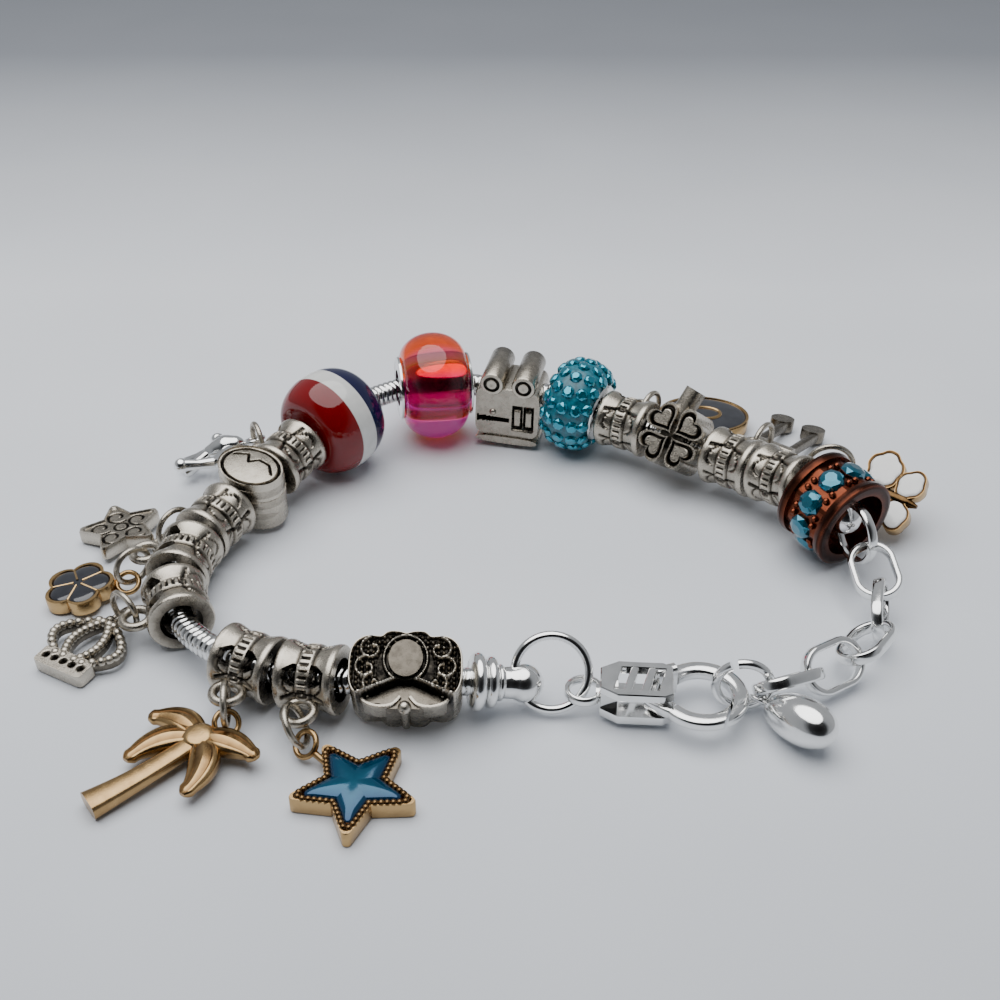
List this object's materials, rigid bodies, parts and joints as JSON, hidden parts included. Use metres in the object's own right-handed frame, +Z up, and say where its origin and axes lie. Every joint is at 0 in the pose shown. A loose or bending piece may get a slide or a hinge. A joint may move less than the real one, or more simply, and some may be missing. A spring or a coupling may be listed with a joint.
{
  "type": "charm bracelet",
  "caption": "Charm bracelet: shaped beads and looped bails with small pendants on a snake chain, closed by a lobster clasp and an extension chain.",
  "frame": {"origin": "middle of the bounding box at table height, z = 0", "axes": "+X from the pendants' end of the loop towards the channel bead, +Y away from the clasp, +Z up from the table"},
  "size_m": [0.1034, 0.0812, 0.0143],
  "materials": {
    "pewter": "antiqued silver-coloured cast metal",
    "silver": "polished bright silver",
    "blue_enamel": "domed blue enamel on gold-coloured metal",
    "bronze": "bronze-gold plating",
    "dark_enamel": "dark enamel on gold-coloured metal",
    "red_resin": "glossy resin in red, white and navy",
    "coloured_glass": "clear lampwork glass",
    "teal_clay": "clay set with crystals",
    "copper": "dark copper plating"
  },
  "bodies": {
    "bracelet": {"bail_bead_1": "pewter", "bail_bead_2": "pewter", "bail_bead_3": "pewter", "bail_bead_4": "pewter", "bail_bead_5": "pewter", "bail_bead_6": "pewter", "bail_bead_7": "pewter", "bail_bead_8": "pewter", "bail_bead_9": "pewter", "big_ring": "silver", "butterfly": "bronze", "channel_bead": "copper", "clasp_body": "silver", "clover_bead": "pewter", "crown": "pewter", "end_cap_front": "silver", "end_cap_rear": "silver", "figure": "silver", "flat_ring": "silver", "flower": "dark_enamel", "glass_bead": "coloured_glass", "glass_bead_core": "silver", "heart_drop": "silver", "leaf_bead": "pewter", "link_2": "silver", "link_3": "silver", "link_4": "silver", "link_5": "silver", "link_6": "silver", "music_note": "pewter", "open_ring": "silver", "oval_medal": "dark_enamel", "palm_tree": "bronze", "pave_bead": "teal_clay", "reel_bead": "pewter", "ring_butterfly": "silver", "ring_crown": "silver", "ring_figure": "silver", "ring_flower": "silver", "ring_music_note": "silver", "ring_oval_medal": "silver", "ring_palm_tree": "silver", "ring_star": "silver", "ring_starfish": "silver", "scroll_bead": "pewter", "snake_chain": "silver", "star": "pewter", "starfish": "blue_enamel", "striped_bead": "red_resin"},
    "gate": {"clasp_gate": "silver"}
  },
  "joints": [
    {"name": "clasp_gate_hinge", "type": "hinge", "parent": "bracelet", "child": "gate", "pos_m": [0.01513, -0.02257, 0.00272], "axis": [0, 0, 1], "range_deg": [0, 15], "stiffness_Nm_per_rad": 0.002, "springref_deg": -5.73}
  ]
}
